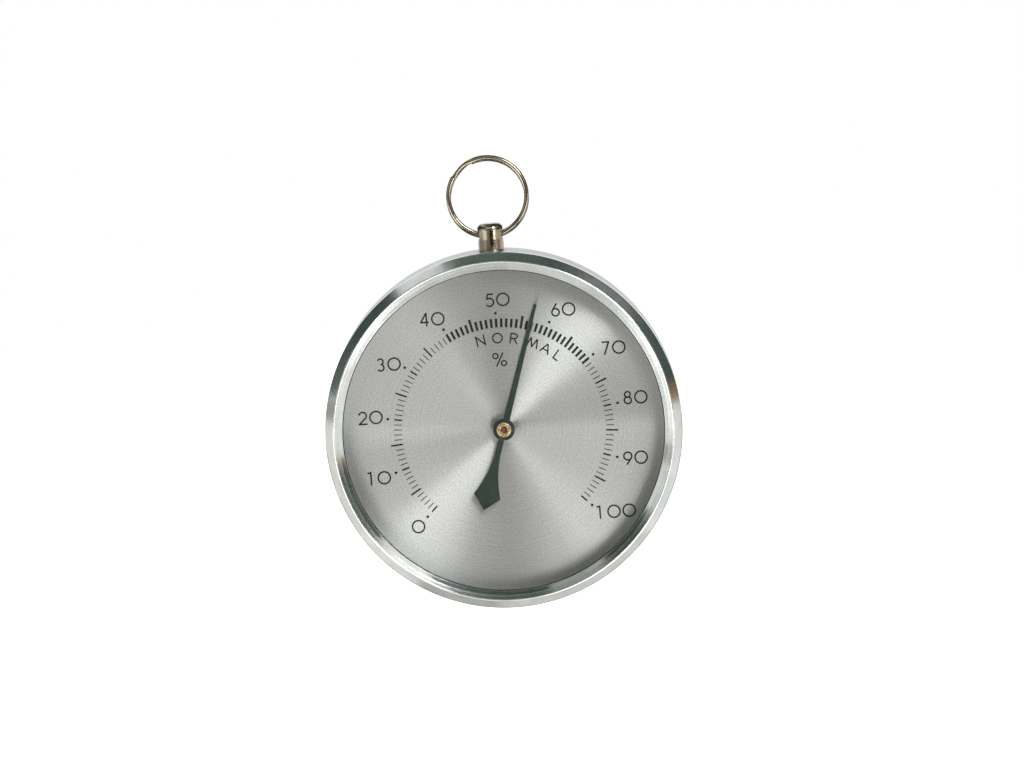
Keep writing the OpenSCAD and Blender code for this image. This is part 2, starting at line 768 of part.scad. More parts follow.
// The sprung washer that keeps the adjuster where it is set
module friction_washer() {
  color("peru") facing() translate([adjust_x, adjust_y, 0])
    ring_of(clip_r, journal_r + seat_gap, plate_top_z + run_gap, clip_z);
}

// The clip on the stud's front end
module adjusting_clip() {
  color("silver") facing() translate([adjust_x, adjust_y, 0])
    ring_of(clip_r, journal_r + seat_gap, clip_z, clip_z + clip_t);
}

// The hanger stem: a flared, cross-drilled head whose foot fits the cup's side, and its shank
module hanger_stem() {
  foot_r = stem_foot_d / 2;
  top_r = stem_top_d / 2;
  shoulder = [top_r, stem_top];
  color("rosybrown") difference() {
    union() {
      difference() {
        translate([0, -stem_y, 0]) turned(concat(
          [[0, cup_r - eps], [foot_r, cup_r - eps], [foot_r, stem_top - stem_round - stem_flare_h]],
          rounded_corner([top_r, cup_r], shoulder, [0, stem_top], stem_round),
          [[0, stem_top]]));
        facing() cylinder(r = cup_r + seat_gap, h = 2 * stem_y, $fn = 360);
      }
      translate([0, -stem_y, shank_end_h]) cylinder(r = shank_r, h = cup_r + eps - shank_end_h);
    }
    translate([0, -stem_y, eye_h]) rotate([0, 90, 0]) {
      cylinder(r = eye_r, h = stem_top_d + 2 * eps, center = true);
      for (side = [0, 180]) rotate([side, 0, 0]) translate([0, 0, foot_r - eye_sink])
        cylinder(r1 = eye_r, r2 = eye_r + 2 * eye_sink, h = 2 * eye_sink);
    }
  }
}

// The washer inside the cup, curved on the side that meets the wall
module stem_washer() {
  color("silver") difference() {
    intersection() {
      translate([0, -stem_y, washer_in_h]) cylinder(r = washer_d / 2, h = washer_flat);
      facing() cylinder(r = cup_in_r - seat_gap, h = 2 * stem_y, $fn = 360);
    }
    translate([0, -stem_y, washer_in_h - eps]) cylinder(r = shank_r + seat_gap, h = washer_flat + 2 * eps);
  }
}

// The hexagon nut on the stem's shank
module stem_nut() {
  color("silver") translate([0, -stem_y, nut_top_h - nut_h]) difference() {
    cylinder(r = nut_w / sqrt(3), h = nut_h, $fn = 6);
    translate([0, 0, -eps]) cylinder(r = shank_r + seat_gap, h = nut_h + 2 * eps);
  }
}

// Centre line of the split ring at a share s of its length: two turns joined by a bend
function ring_point(s) =
  let (
    a = jog_at + 360 * ring_turns * (s - 0.5),
    x = min(1, max(0, (a - jog_at) / jog_deg + 0.5)),
    side = x * x * (3 - 2 * x) - 0.5)
  [ring_r * cos(a), side * turn_pitch - stem_y, ring_h + ring_r * sin(a) - side * turn_slip];

ring_way = [for (i = [0 : ring_steps]) ring_point(i / ring_steps)];
ring_least_gap = min([
  for (i = [0 : ring_steps], j = [0 : ring_steps])
    if (j - i > ring_steps / 4) norm(ring_way[i] - ring_way[j]) - wire_d]);
echo(ring_least_gap = ring_least_gap);
echo(roller_turns_per_spindle_turn = spool_way_r / roller_way_r);

// The split ring through the stem's hole
module hanging_ring() {
  color("rosybrown") swept(ring_way, wire_r, ring_sides, [0, 1, 0]);
}

case_cup();
bezel();
glass_gasket();
glass();
spacer_ring();
dial_plate();
case_pillars();
pillar_screws();
dial_standoffs();
movement_plate();
rear_bridge();
bridge_pillars();
bridge_screws();
front_bush();
rear_bush();
spindle();
pointer();
pointer_bush();
hairspring();
hairspring_collet();
hairspring_stud();
hair_bundle();
hair_ferrule();
guide_roller();
roller_pin();
roller_clip();
adjusting_arm();
adjusting_stud();
friction_washer();
adjusting_clip();
hanger_stem();
stem_washer();
stem_nut();
hanging_ring();
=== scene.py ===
# %% [markdown]
# A round hair hygrometer that hangs from a split ring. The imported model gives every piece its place, so
# this file never fits anything: it loads that model as a fixed frame, makes finer meshes for the pieces
# that show, and gives each piece the finish of the metal, glass, rubber, ink or hair it is made of.
# The dial faces -Y, +Z is up, and the origin is the middle of the flat back face.

# %% Load the frame
import math

import bmesh
import bpy
from mathutils import Matrix, Vector


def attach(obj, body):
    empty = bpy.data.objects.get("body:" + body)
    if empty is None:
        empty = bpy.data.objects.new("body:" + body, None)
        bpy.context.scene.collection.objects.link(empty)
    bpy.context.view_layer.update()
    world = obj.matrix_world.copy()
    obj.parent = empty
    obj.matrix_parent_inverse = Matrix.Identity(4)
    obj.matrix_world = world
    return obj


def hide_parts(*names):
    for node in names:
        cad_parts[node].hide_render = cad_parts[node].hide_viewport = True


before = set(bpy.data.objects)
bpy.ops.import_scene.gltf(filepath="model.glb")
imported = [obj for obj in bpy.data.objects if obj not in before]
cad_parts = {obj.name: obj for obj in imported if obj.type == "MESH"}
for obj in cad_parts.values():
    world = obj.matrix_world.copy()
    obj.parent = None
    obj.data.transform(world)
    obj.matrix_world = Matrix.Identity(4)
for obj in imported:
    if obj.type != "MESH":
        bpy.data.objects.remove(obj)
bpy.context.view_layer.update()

print("pieces in the frame:", len(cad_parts))

# %% [markdown]
# Everything is drawn in millimetres, as on a workshop drawing, and turned to metres at the last moment.
# A point of the instrument is given by x to the right, y up, both as seen from the front, and its height
# above the back face. One function does that change, so no other line has to think about axes.

# %% Millimetres and drawing points
MM = 0.001


def at(x, y, height):
    """A drawing point in mm, as a place in the frame in metres."""
    return Vector((x * MM, -height * MM, y * MM))


def clockwise(degrees, radius, height=0.0):
    """The point at that angle clockwise from the top of the dial, and that distance from its middle."""
    angle = math.radians(degrees)
    return at(radius * math.sin(angle), radius * math.cos(angle), height)


TO_FRAME = Matrix((at(1, 0, 0), at(0, 1, 0), at(0, 0, 1))).transposed().to_4x4()
print("a point 10 mm above the back face lies at", tuple(at(0, 0, 10)))

# %% [markdown]
# A finish is a small network of nodes. Four short helpers keep the networks readable: one turns a
# colour that was read as sRGB hex into the linear numbers a shader wants, one adds any node with its
# settings and its inputs, and one starts a material with its Principled shader. A fourth one links
# patterns into a shader that already stands.

# %% Helpers for finishes
def linear(code):
    """An sRGB hex colour as linear red, green, blue and alpha."""
    parts = [int(code[i:i + 2], 16) / 255 for i in (1, 3, 5)]
    return (*[c / 12.92 if c <= 0.04045 else ((c + 0.055) / 1.055) ** 2.4 for c in parts], 1.0)


def add_node(material, kind, settings=None, inputs=None):
    """Adds a node. An input is a number, a colour, or another node's output, which gets linked."""
    node = material.node_tree.nodes.new(kind)
    for name, value in (settings or {}).items():
        setattr(node, name, value)
    for name, value in (inputs or {}).items():
        if isinstance(value, bpy.types.NodeSocket):
            material.node_tree.links.new(value, node.inputs[name])
        else:
            node.inputs[name].default_value = value
    return node


def start_finish(name, inputs):
    """A new material whose Principled shader has those inputs, and the shader."""
    material = bpy.data.materials.new(name)
    material.use_nodes = True
    material.node_tree.nodes.clear()
    shader = add_node(material, "ShaderNodeBsdfPrincipled", inputs=inputs)
    add_node(material, "ShaderNodeOutputMaterial", inputs={"Surface": shader.outputs["BSDF"]})
    print("finish:", name)
    return material, shader


def feed(material, shader, values):
    """Links pattern outputs into a shader that already stands."""
    for name, value in values.items():
        material.node_tree.links.new(value, shader.inputs[name])


print("sRGB mid grey is", round(linear("#808080")[0], 3), "in linear light")

# %% [markdown]
# Nearly every metal piece here comes off a lathe, so the same pattern serves them all: fine rings about
# the instrument's axis. The distance from the Y axis, plus a share of the height so that a straight wall
# gets rings too, drives a one-dimensional noise. Another helper gives the soft, slow variation that
# handling, dust and age leave on any surface.

# %% Helpers for patterns
wall_share = 0.7


def axis_distance(material, place):
    """How far a point of a Texture Coordinate node lies from the instrument's axis, in metres."""
    flat = add_node(material, "ShaderNodeVectorMath", {"operation": "MULTIPLY"},
                    {0: place.outputs["Object"], 1: (1, 0, 1)})
    reach = add_node(material, "ShaderNodeVectorMath", {"operation": "LENGTH"},
                     {0: flat.outputs["Vector"]})
    return reach.outputs["Value"]


def rings(material, spacing, detail=3.0):
    """Turning marks about the dial's axis, that many mm apart, as a value from 0 to 1."""
    place = add_node(material, "ShaderNodeTexCoord")
    parts = add_node(material, "ShaderNodeSeparateXYZ", inputs={0: place.outputs["Object"]})
    path = add_node(material, "ShaderNodeMath", {"operation": "MULTIPLY_ADD"},
                    {0: parts.outputs["Y"], 1: wall_share, 2: axis_distance(material, place)})
    count = add_node(material, "ShaderNodeMath", {"operation": "MULTIPLY"},
                     {0: path.outputs["Value"], 1: 1 / (spacing * MM)})
    noise = add_node(material, "ShaderNodeTexNoise", {"noise_dimensions": "1D"},
                     {"W": count.outputs["Value"], "Scale": 1.0, "Detail": detail})
    return noise.outputs["Fac"]


def mottle(material, size, detail=3.0, stretch=(1, 1, 1)):
    """Soft spots about that many mm across, as a value from 0 to 1."""
    place = add_node(material, "ShaderNodeTexCoord")
    scaled = add_node(material, "ShaderNodeMapping",
                      inputs={"Vector": place.outputs["Object"], "Scale": stretch})
    noise = add_node(material, "ShaderNodeTexNoise", inputs={
        "Vector": scaled.outputs["Vector"], "Scale": 1 / (size * MM), "Detail": detail})
    return noise.outputs["Fac"]


print("share of the height in the turning marks:", wall_share)

# %% [markdown]
# Three more helpers turn a pattern into what a shader wants: a number between two values, a colour
# between two colours, or a small relief.

# %% Helpers that use a pattern
noise_low = 0.3
noise_high = 0.7


def between(material, pattern, low, high):
    """Spreads the values that noise mostly has between low and high."""
    spread = add_node(material, "ShaderNodeMapRange", inputs={
        "Value": pattern, "From Min": noise_low, "From Max": noise_high, "To Min": low, "To Max": high})
    return spread.outputs["Result"]


def tinted(material, pattern, dark, light):
    """A colour that goes from dark to light with a pattern."""
    mix = add_node(material, "ShaderNodeMix", {"data_type": "RGBA"},
                   {0: between(material, pattern, 0.0, 1.0), 6: linear(dark), 7: linear(light)})
    return mix.outputs[2]


def relief(material, pattern, depth, strength=0.5):
    """A normal that a pattern raises by that many mm."""
    bump = add_node(material, "ShaderNodeBump",
                    inputs={"Height": pattern, "Distance": depth * MM, "Strength": strength})
    return bump.outputs["Normal"]


print("noise is stretched from", noise_low, "-", noise_high)

# %% [markdown]
# The photograph is taken from far off and nearly face on, from a little above, and the instrument
# stands about four degrees anticlockwise in it. The camera therefore sits at those angles, aims at the
# ridge of the bezel and is rolled about its own view line. The aim is moved over by the distance, in
# pixels, at which the bezel stands off the picture's middle, so that no lens shift is needed.

# %% Camera
azimuth = math.radians(1.0)
elevation = math.radians(5.5)
roll = math.radians(-4.2)
distance = 2.5
ridge = at(0, 0, 22.9)
mm_per_pixel = 0.2848
picture_width = 1024
ridge_off_middle = (-8.3, -47.4)

outward = Vector((math.sin(azimuth) * math.cos(elevation), -math.cos(azimuth) * math.cos(elevation),
                  math.sin(elevation)))
turn = (-outward).to_track_quat("-Z", "Y").to_matrix() @ Matrix.Rotation(roll, 3, "Z")
aim = ridge - turn @ Vector((ridge_off_middle[0], ridge_off_middle[1], 0)) * mm_per_pixel * MM

eye = bpy.data.cameras.new("studio_camera")
eye.sensor_width = 36.0
eye.lens = eye.sensor_width / picture_width * distance / (mm_per_pixel * MM)
eye.clip_start = 0.01
camera = bpy.data.objects.new("studio_camera", eye)
camera.matrix_world = Matrix.Translation(aim + outward * distance) @ turn.to_4x4()
bpy.context.scene.collection.objects.link(camera)
bpy.context.scene.camera = camera
bpy.context.scene.view_settings.view_transform = "Standard"
print("lens", round(eye.lens, 1), "mm")

# %% [markdown]
# Polished metal shows the room more than itself, so the room matters as much as the metal. A white
# floor and a white world stand for the paper sweep of a product photograph. The world is white for what
# the camera, a reflection or the glass sees, and plain and softer for what it casts on matt surfaces.

# %% White world
def whiteness(material, plain):
    """1 where the camera, a reflection or the glass looks, and the plain level for all other light."""
    path = add_node(material, "ShaderNodeLightPath")
    seen = add_node(material, "ShaderNodeMath", {"operation": "MAXIMUM"},
                    {0: path.outputs["Is Camera Ray"], 1: path.outputs["Is Glossy Ray"]})
    through = add_node(material, "ShaderNodeMath", {"operation": "MAXIMUM"},
                       {0: seen.outputs["Value"], 1: path.outputs["Is Transmission Ray"]})
    level = add_node(material, "ShaderNodeMapRange",
                     inputs={"Value": through.outputs["Value"], "To Min": plain, "To Max": 1.0})
    return level.outputs["Result"]


world_level = 0.55
world = bpy.data.worlds.new("white_room")
world.use_nodes = True
world.node_tree.nodes.clear()
sky = add_node(world, "ShaderNodeBackground", inputs={
    "Color": linear("#FFFFFF"), "Strength": whiteness(world, world_level)})
add_node(world, "ShaderNodeOutputWorld", inputs={"Surface": sky.outputs["Background"]})
bpy.context.scene.world = world
print("the world lights matt surfaces at", world_level)

# %% [markdown]
# The floor is real paper, so that it takes the instrument's shadow, and it glows white only for what the
# camera, a reflection or the glass sees. It lies half a metre below, because the instrument hangs.

# %% Paper floor
paper, paper_shader = start_finish("matt white paper", {
    "Base Color": linear("#F4F4F2"), "Roughness": 0.9, "Specular IOR Level": 0.1,
    "Emission Color": linear("#FFFFFF")})
feed(paper, paper_shader, {"Emission Strength": whiteness(paper, 0.0),
                           "Normal": relief(paper, mottle(paper, 4.0), 0.05)})
floor_drop = 0.5
floor_half = 6.0
floor_mesh = bmesh.new()
bmesh.ops.create_grid(floor_mesh, x_segments=1, y_segments=1, size=floor_half,
                      matrix=Matrix.Translation((0, 0, -floor_drop)))
floor_data = bpy.data.meshes.new("paper_floor")
floor_mesh.to_mesh(floor_data)
floor_mesh.free()
floor_data.materials.append(paper)
floor = bpy.data.objects.new("paper_floor", floor_data)
bpy.context.scene.collection.objects.link(floor)
print("floor", floor_drop, "m below the instrument's middle")

# %% [markdown]
# The bezel's two flanks look sideways, one a little backwards and one a little forwards, so a room of
# bent boards round the instrument's axis gives each flank its own picture: boards in front of the case
# (y below 0) are for the inner flank, and those behind it (y above 0) for the outer one. The upper half
# is a dark, greenish roof with a window to the left and a pale wall piece to the right, and a brown post
# where it ends on the right. The lower half is pale, with greyer parts, and a dark board behind it draws
# the bezel's lower edge as a thin line. In front stands a grey wall with a dark doorway: the glass
# mirrors the doorway and so stays clear. Boards are seen by reflections and through the glass only, and
# throw no shadow.

# %% Helpers for boards
def board_finish(name, dark, light, patch):
    """A sheet's even glow between two colours, in soft patches about that many metres wide."""
    material = bpy.data.materials.new(name)
    material.use_nodes = True
    material.node_tree.nodes.clear()
    glow = add_node(material, "ShaderNodeEmission", inputs={
        "Color": tinted(material, mottle(material, patch / MM, 1.0), dark, light), "Strength": 1.0})
    add_node(material, "ShaderNodeOutputMaterial", inputs={"Surface": glow.outputs["Emission"]})
    return material


def set_up(name, mesh, material):
    """Makes a mesh a board of the studio that only reflections and the glass can see."""
    data = bpy.data.meshes.new(name)
    mesh.to_mesh(data)
    mesh.free()
    data.materials.append(material)
    sheet = bpy.data.objects.new(name, data)
    bpy.context.scene.collection.objects.link(sheet)
    sheet.visible_camera = False
    sheet.visible_diffuse = False
    sheet.visible_shadow = False


print("boards hide from the camera, matt light and shadow rays")

# %% [markdown]
# Two shapes of board are enough. A bent one is a short edge that is spun about the instrument's axis. A
# flat one is a grid of one face, sized and stood upright in front of the dial.

# %% Shapes of the boards
def bent_board(name, colours, start, end, reach, front, back, patch=0.2):
    """A board bent about the instrument's axis, from one clockwise angle to another."""
    mesh = bmesh.new()
    edge = [mesh.verts.new(clockwise(start, reach / MM) + Vector((0, y, 0))) for y in (front, back)]
    mesh.edges.new(edge)
    bmesh.ops.spin(mesh, geom=mesh.verts[:] + mesh.edges[:], cent=(0, 0, 0), axis=(0, 1, 0),
                   angle=math.radians(end - start), steps=24)
    set_up(name, mesh, board_finish(name, *colours, patch))


def flat_board(name, colours, left, right, low, high, away, patch=0.5):
    """An upright board in front of the instrument, that many metres away."""
    mesh = bmesh.new()
    size = Matrix.Diagonal(((right - left) / 2, 1, (high - low) / 2, 1))
    middle = Matrix.Translation(((left + right) / 2, -away, (low + high) / 2))
    bmesh.ops.create_grid(mesh, x_segments=1, y_segments=1, size=1.0,
                          matrix=middle @ size @ Matrix.Rotation(math.pi / 2, 4, "X"))
    set_up(name, mesh, board_finish(name, *colours, patch))


# %% [markdown]
# One table holds the room. Each row gives two colours, the clockwise angles in degrees at which the
# board starts and ends, and in metres how far from the axis it stands and where its front and back are.

# %% Boards
room = {
    "roof_front": (("#2A3430", "#4A5750"), -63.0, 88.0, 1.0, -0.7, -0.04),
    "roof_back": (("#2A3430", "#4A5750"), -60.0, 83.2, 1.0, -0.04, 1.2),
    "roof_middle": (("#4C5852", "#727E77"), -16.0, 16.0, 0.97, 0.0, 0.5),
    "roof_end": (("#2A3430", "#4A5750"), -80.0, -60.0, 1.0, -0.08, 1.2),
    "pale_end": (("#D8D9D2", "#EDEEE8"), -81.0, -63.0, 1.0, -0.7, -0.08),
    "left_wall": (("#8E918A", "#A2A59E"), -92.0, -81.0, 1.0, -0.7, 1.2),
    "post_front": (("#7C5B30", "#9A7848"), 88.0, 93.0, 1.0, -0.7, -0.04),
    "post_back": (("#7C5B30", "#9A7848"), 83.2, 90.0, 1.0, -0.04, 1.2),
    "left_window": (("#F4F6F8", "#FFFFFF"), -37.0, -19.0, 0.96, 0.0, 0.9),
    "window_sill": (("#AEB1AA", "#CCCEC7"), -38.0, -15.0, 0.96, -0.3, 0.0),
    "right_wall": (("#D4D3CA", "#F2F1EA"), 33.0, 57.0, 0.96, -0.5, -0.08),
    "pale_right": (("#E6E7E3", "#F4F4F1"), 91.0, 134.0, 0.48, -0.5, 0.3),
    "pale_low": (("#D0D2CB", "#E0E1DA"), 134.0, 186.0, 0.48, -0.5, 0.3),
    "grey_low": (("#A8AAA3", "#BEC0B8"), 186.0, 211.0, 0.48, 0.0, 0.3),
    "pale_front": (("#E6E7E3", "#FAFAF8"), 186.0, 211.0, 0.48, -0.5, 0.0),
    "pale_left": (("#DCDDD6", "#F0F0EA"), 211.0, 272.0, 0.48, -0.5, 0.3),
    "dark_back": (("#262926", "#3A3E3A"), 95.0, 262.0, 0.48, 0.3, 1.6)}
for name, row in room.items():
    bent_board(name, *row)
flat_board("front_wall", ("#8F8B83", "#A8A49C"), -1.5, 1.5, -1.2, 1.2, 1.6)
flat_board("dark_doorway", ("#1A1C1A", "#2A2C2A"), -0.14, 0.7, -0.5, 0.3, 1.4)
print("boards:", len(room) + 2)

# %% [markdown]
# Five soft lamps light the instrument, and each one draws its own fan on the brushed dial. The first is
# the window at the upper right: it gives the brightest fan and throws the pointer's soft shadow to the
# left. The second is a broad, weak fill from the right and below, for the softer fan. Two small ones
# stand near the case, below it and to its left, and lift the near half of the dial more than the far
# one. The last is a narrow one that draws the thin ray at the lower right. All stand 40 degrees or more
# off the view line, outside what the flat glass mirrors to the camera.

# %% Lamps
def soft_lamp(name, angle, off_axis, reach, width, height, power):
    """A lamp at that clockwise angle, off_axis degrees from straight in front. Sizes are in metres."""
    lamp = bpy.data.lights.new(name, "AREA")
    lamp.shape = "RECTANGLE"
    lamp.size = width
    lamp.size_y = height
    lamp.energy = power
    place = Matrix.Rotation(math.radians(off_axis), 3, "X") @ Vector((0, -reach, 0))
    place = Matrix.Rotation(math.radians(angle), 3, "Y") @ Vector((place.x, place.y, abs(place.z)))
    holder = bpy.data.objects.new(name, lamp)
    facing = (-place).to_track_quat("-Z", "Y").to_matrix().to_4x4()
    holder.matrix_world = Matrix.Translation(place) @ facing
    holder.visible_camera = False
    bpy.context.scene.collection.objects.link(holder)


lamps = {
    "window_right": (41.0, 50.0, 0.9, 0.19, 0.50, 4.4),
    "broad_fill": (116.0, 45.0, 0.9, 0.44, 0.40, 3.0),
    "low_fill": (146.0, 52.0, 0.22, 0.18, 0.10, 0.17),
    "left_fill": (245.0, 52.0, 0.3, 0.20, 0.20, 0.35),
    "low_ray": (150.0, 40.0, 0.5, 0.03, 0.15, 0.3)}
for name, row in lamps.items():
    soft_lamp(name, *row)
print("lamps:", list(lamps))

# %% [markdown]
# Two helpers make nearly all the new pieces. A turned piece is what a lathe makes: its outline is drawn
# once, its corners are eased with a vertex bevel, and it is spun about the instrument's axis.

# %% Helper for turned pieces
def turned(outline, steps=240, closed=True):
    """Spins an outline of (radius, height, easing) corners, in mm. An open one ends on the axis."""
    mesh = bmesh.new()
    corners = [mesh.verts.new(at(radius, 0, height)) for radius, height, easing in outline]
    for first, second in zip(corners, corners[1:]):
        mesh.edges.new((first, second))
    if closed:
        mesh.edges.new((corners[-1], corners[0]))
    for corner, (radius, height, easing) in zip(corners, outline):
        if easing:
            bmesh.ops.bevel(mesh, geom=[corner], offset=easing * MM, offset_type="OFFSET",
                            affect="VERTICES", segments=4, profile=0.5, material=-1)
    bmesh.ops.spin(mesh, geom=mesh.verts[:] + mesh.edges[:], cent=(0, 0, 0), axis=(0, 1, 0),
                   angle=math.tau, steps=steps, use_merge=True)
    return mesh


# %% [markdown]
# Finishing a piece means closing its seams, turning its faces outwards, shading it smooth up to its real
# edges, hanging it on an empty for the body it rides on, and hiding the frame's pieces that it stands
# for.
# Smooth shading would tilt a wide flat face towards the small easing at its edge, and a flat mirror must
# stay flat, so the normals are weighted by the faces' areas.

# %% Helper that finishes a piece
merge_mm = 0.0005


def finish_piece(name, mesh, material, body, nodes=(), edge=35):
    """Makes a bmesh an object that rides on a body. Edges sharper than edge degrees stay crisp."""
    bmesh.ops.remove_doubles(mesh, verts=mesh.verts, dist=merge_mm * MM)
    bmesh.ops.recalc_face_normals(mesh, faces=mesh.faces)
    data = bpy.data.meshes.new(name)
    mesh.to_mesh(data)
    mesh.free()
    data.shade_smooth()
    data.set_sharp_from_angle(angle=math.radians(edge))
    data.materials.append(material)
    piece = bpy.data.objects.new(name, data)
    bpy.context.scene.collection.objects.link(piece)
    weighted = piece.modifiers.new("flat_faces_stay_flat", "WEIGHTED_NORMAL")
    weighted.keep_sharp = True
    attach(piece, body)
    if nodes:
        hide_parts(*nodes)
    print(name, "faces", len(data.polygons))


# %% [markdown]
# The bezel is an aluminium ring turned on a lathe and polished, not lacquered. Its ridge is narrow, one
# flank falls outwards and one inwards. Bright aluminium takes the room almost as a mirror does, so the
# roughness is low, and the fine turning marks smear each reflection across the rings. They are drawn
# 0.35 mm apart, which is coarser than the real ones, so that they show at this size.

# %% Bezel finish
polished_aluminium, shader = start_finish("polished aluminium", {
    "Metallic": 1.0, "Anisotropic": 0.5, "Anisotropic Rotation": 0.25})
round_axis = add_node(polished_aluminium, "ShaderNodeTangent", {"direction_type": "RADIAL", "axis": "Y"})
marks = rings(polished_aluminium, 0.35)
wear = mottle(polished_aluminium, 6.0)
feed(polished_aluminium, shader, {
    "Base Color": tinted(polished_aluminium, wear, "#D9DCDC", "#E9EBEA"),
    "Roughness": between(polished_aluminium, marks, 0.14, 0.26),
    "Tangent": round_axis.outputs["Tangent"],
    "Normal": relief(polished_aluminium, marks, 0.004)})

# %% [markdown]
# The bezel's outline goes round its whole section: the outer wall, the two flanks with the ridge between
# them, the lip over the glass, and the pocket behind. Its corners keep the easings of the real ring.

# %% Bezel
bezel_r = 51.0
crest_r = 48.5
lip_r = 46.0
neck_r = 50.4
pocket_r = 49.3
bezel_back = 17.6
step_top = 19.9
rim_top = 20.2
seat = 20.45
lip_top = 20.8
crest_top = 23.0
bezel = turned([
    (neck_r, bezel_back, 0.05), (bezel_r, bezel_back, 0.12), (bezel_r, rim_top, 0.5),
    (crest_r, crest_top, 0.36), (lip_r, lip_top, 0.08), (lip_r, seat, 0.05), (pocket_r, seat, 0),
    (pocket_r, step_top, 0), (neck_r, step_top, 0)], steps=360)
finish_piece("turned_bezel", bezel, polished_aluminium, "case", ["bezel"], edge=60)

# %% [markdown]
# The glass is a flat disc of clear mineral glass with ground edges. It is a real solid with two faces,
# so that it bends light twice as the real one does. Light from the lamps has to reach the dial below, so
# the glass lets shadow rays straight through. Its gloss is perfect, because glass as clean as this
# shows no texture of its own.

# %% Glass
mineral_glass = bpy.data.materials.new("clear mineral glass")
mineral_glass.use_nodes = True
mineral_glass.node_tree.nodes.clear()
glass_shader = add_node(mineral_glass, "ShaderNodeBsdfPrincipled", inputs={
    "Base Color": linear("#FDFEFD"), "Roughness": 0.0, "IOR": 1.5, "Transmission Weight": 1.0})
clear = add_node(mineral_glass, "ShaderNodeBsdfTransparent", inputs={"Color": linear("#FAFCFB")})
path = add_node(mineral_glass, "ShaderNodeLightPath")
either = add_node(mineral_glass, "ShaderNodeMixShader", inputs={
    0: path.outputs["Is Shadow Ray"], 1: glass_shader.outputs["BSDF"], 2: clear.outputs["BSDF"]})
add_node(mineral_glass, "ShaderNodeOutputMaterial", inputs={"Surface": either.outputs["Shader"]})

glass_r = 49.15
glass_back = 18.85
glass_front = 20.15
glass = turned([(0, glass_back, 0), (glass_r, glass_back, 0.1), (glass_r, glass_front, 0.1),
                (0, glass_front, 0)], closed=False)
finish_piece("flat_glass", glass, mineral_glass, "case", ["glass"])

# %% [markdown]
# A thin black rubber gasket lies between the bezel's lip and the glass. Only its inner edge shows, as a
# fine dark line round the opening. Rubber is matt and scatters light, so it is the one dark thing here
# without a gloss.

# %% Gasket
rubber, shader = start_finish("nitrile rubber", {"Roughness": 0.62, "Specular IOR Level": 0.35})
feed(rubber, shader, {
    "Base Color": tinted(rubber, mottle(rubber, 2.0), "#161817", "#232625"),
    "Normal": relief(rubber, mottle(rubber, 0.3), 0.02)})
gasket_in_r = 45.75
gasket = turned([(gasket_in_r, glass_front, 0.06), (gasket_in_r, seat, 0.06), (glass_r, seat, 0),
                 (glass_r, glass_front, 0)])
finish_piece("rubber_gasket", gasket, rubber, "case", ["glass_gasket"])

# %% [markdown]
# Behind the glass an aluminium spacer ring keeps it clear of the pointer. It is turned but not polished,
# and it shows as the wall between the glass and the dial. Its colour is a dark green-grey, far darker
# than
# the bezel: that darkness is painted shade in the recess between the glass and the dial.

# %% Spacer ring
recess_shaded_aluminium, shader = start_finish("turned aluminium, painted recess shade", {
    "Metallic": 1.0, "Anisotropic": 0.4, "Anisotropic Rotation": 0.25})
round_axis = add_node(recess_shaded_aluminium, "ShaderNodeTangent", {"direction_type": "RADIAL", "axis": "Y"})
marks = rings(recess_shaded_aluminium, 0.3)
feed(recess_shaded_aluminium, shader, {
    # painted shade: this dark green-grey stands for the shade in the recess, and the turning rings vary
    # it
    "Base Color": tinted(recess_shaded_aluminium, marks, "#7F8683", "#A4AAA7"),
    "Roughness": between(recess_shaded_aluminium, marks, 0.3, 0.45),
    "Tangent": round_axis.outputs["Tangent"],
    "Normal": relief(recess_shaded_aluminium, marks, 0.006)})
spacer_in_r = 46.1
dial_r = 49.3
dial_face = 16.0
dial_back = 15.2
spacer = turned([(spacer_in_r, dial_face, 0), (dial_r, dial_face, 0), (dial_r, glass_back, 0),
                 (spacer_in_r, glass_back, 0.1)])
finish_piece("spacer_wall", spacer, recess_shaded_aluminium, "case", ["spacer_ring"])

# %% [markdown]
# The dial is the piece that catches the eye. It is an aluminium disc that was spun under an abrasive
# pad, so thousands of hair-fine rings lie about its middle. Each ring throws light outwards and inwards
# but hardly sideways, and that makes the bright fans which point to the lamps. Drawing every scratch
# would only give noise, so the shader's anisotropy does it: its tangent runs round the axis and its
# gloss is stretched across the rings. Coarser rings and a fine grain, both in colour and roughness, add
# the texture that shows close by.

# %% Dial finish
brushed_aluminium, shader = start_finish("circular brushed aluminium", {
    "Metallic": 1.0, "Anisotropic": 1.0, "Anisotropic Rotation": 0.25})
round_axis = add_node(brushed_aluminium, "ShaderNodeTangent", {"direction_type": "RADIAL", "axis": "Y"})
marks = rings(brushed_aluminium, 0.32, 4.0)
grain = mottle(brushed_aluminium, 0.4, 2.0)
both = add_node(brushed_aluminium, "ShaderNodeMix", inputs={0: 0.7, 2: marks, 3: grain})
feed(brushed_aluminium, shader, {
    "Base Color": tinted(brushed_aluminium, both.outputs[0], "#AAA9A8", "#E0DFDF"),
    "Roughness": between(brushed_aluminium, both.outputs[0], 0.40, 0.50),
    "Tangent": round_axis.outputs["Tangent"],
    "Normal": relief(brushed_aluminium, grain, 0.003, 0.3)})

# %% [markdown]
# The disc itself is simple: flat, thin, with a hole for the spindle and the burrs taken off.

# %% Dial
dial_hole_r = 1.4
dial = turned([(dial_hole_r, dial_face, 0.05), (dial_r, dial_face, 0.08), (dial_r, dial_back, 0.08),
               (dial_hole_r, dial_back, 0.05)])
finish_piece("brushed_dial", dial, brushed_aluminium, "case", ["dial_plate"])

# %% [markdown]
# The markings are screen printed: ink lies on the metal as a skin a few hundredths of a millimetre
# thick, with crisp edges. Each stroke here is therefore a flat ribbon given a little thickness. Three
# helpers draw on the dial's plane: a straight line, an arc that a short edge sweeps out by spinning, and
# a dot. They all draw in millimetres, and a fourth one lays the drawing on the dial.

# %% Helpers for print
ink_height = 0.02
ink_sink = 0.01
arc_step = 7.5


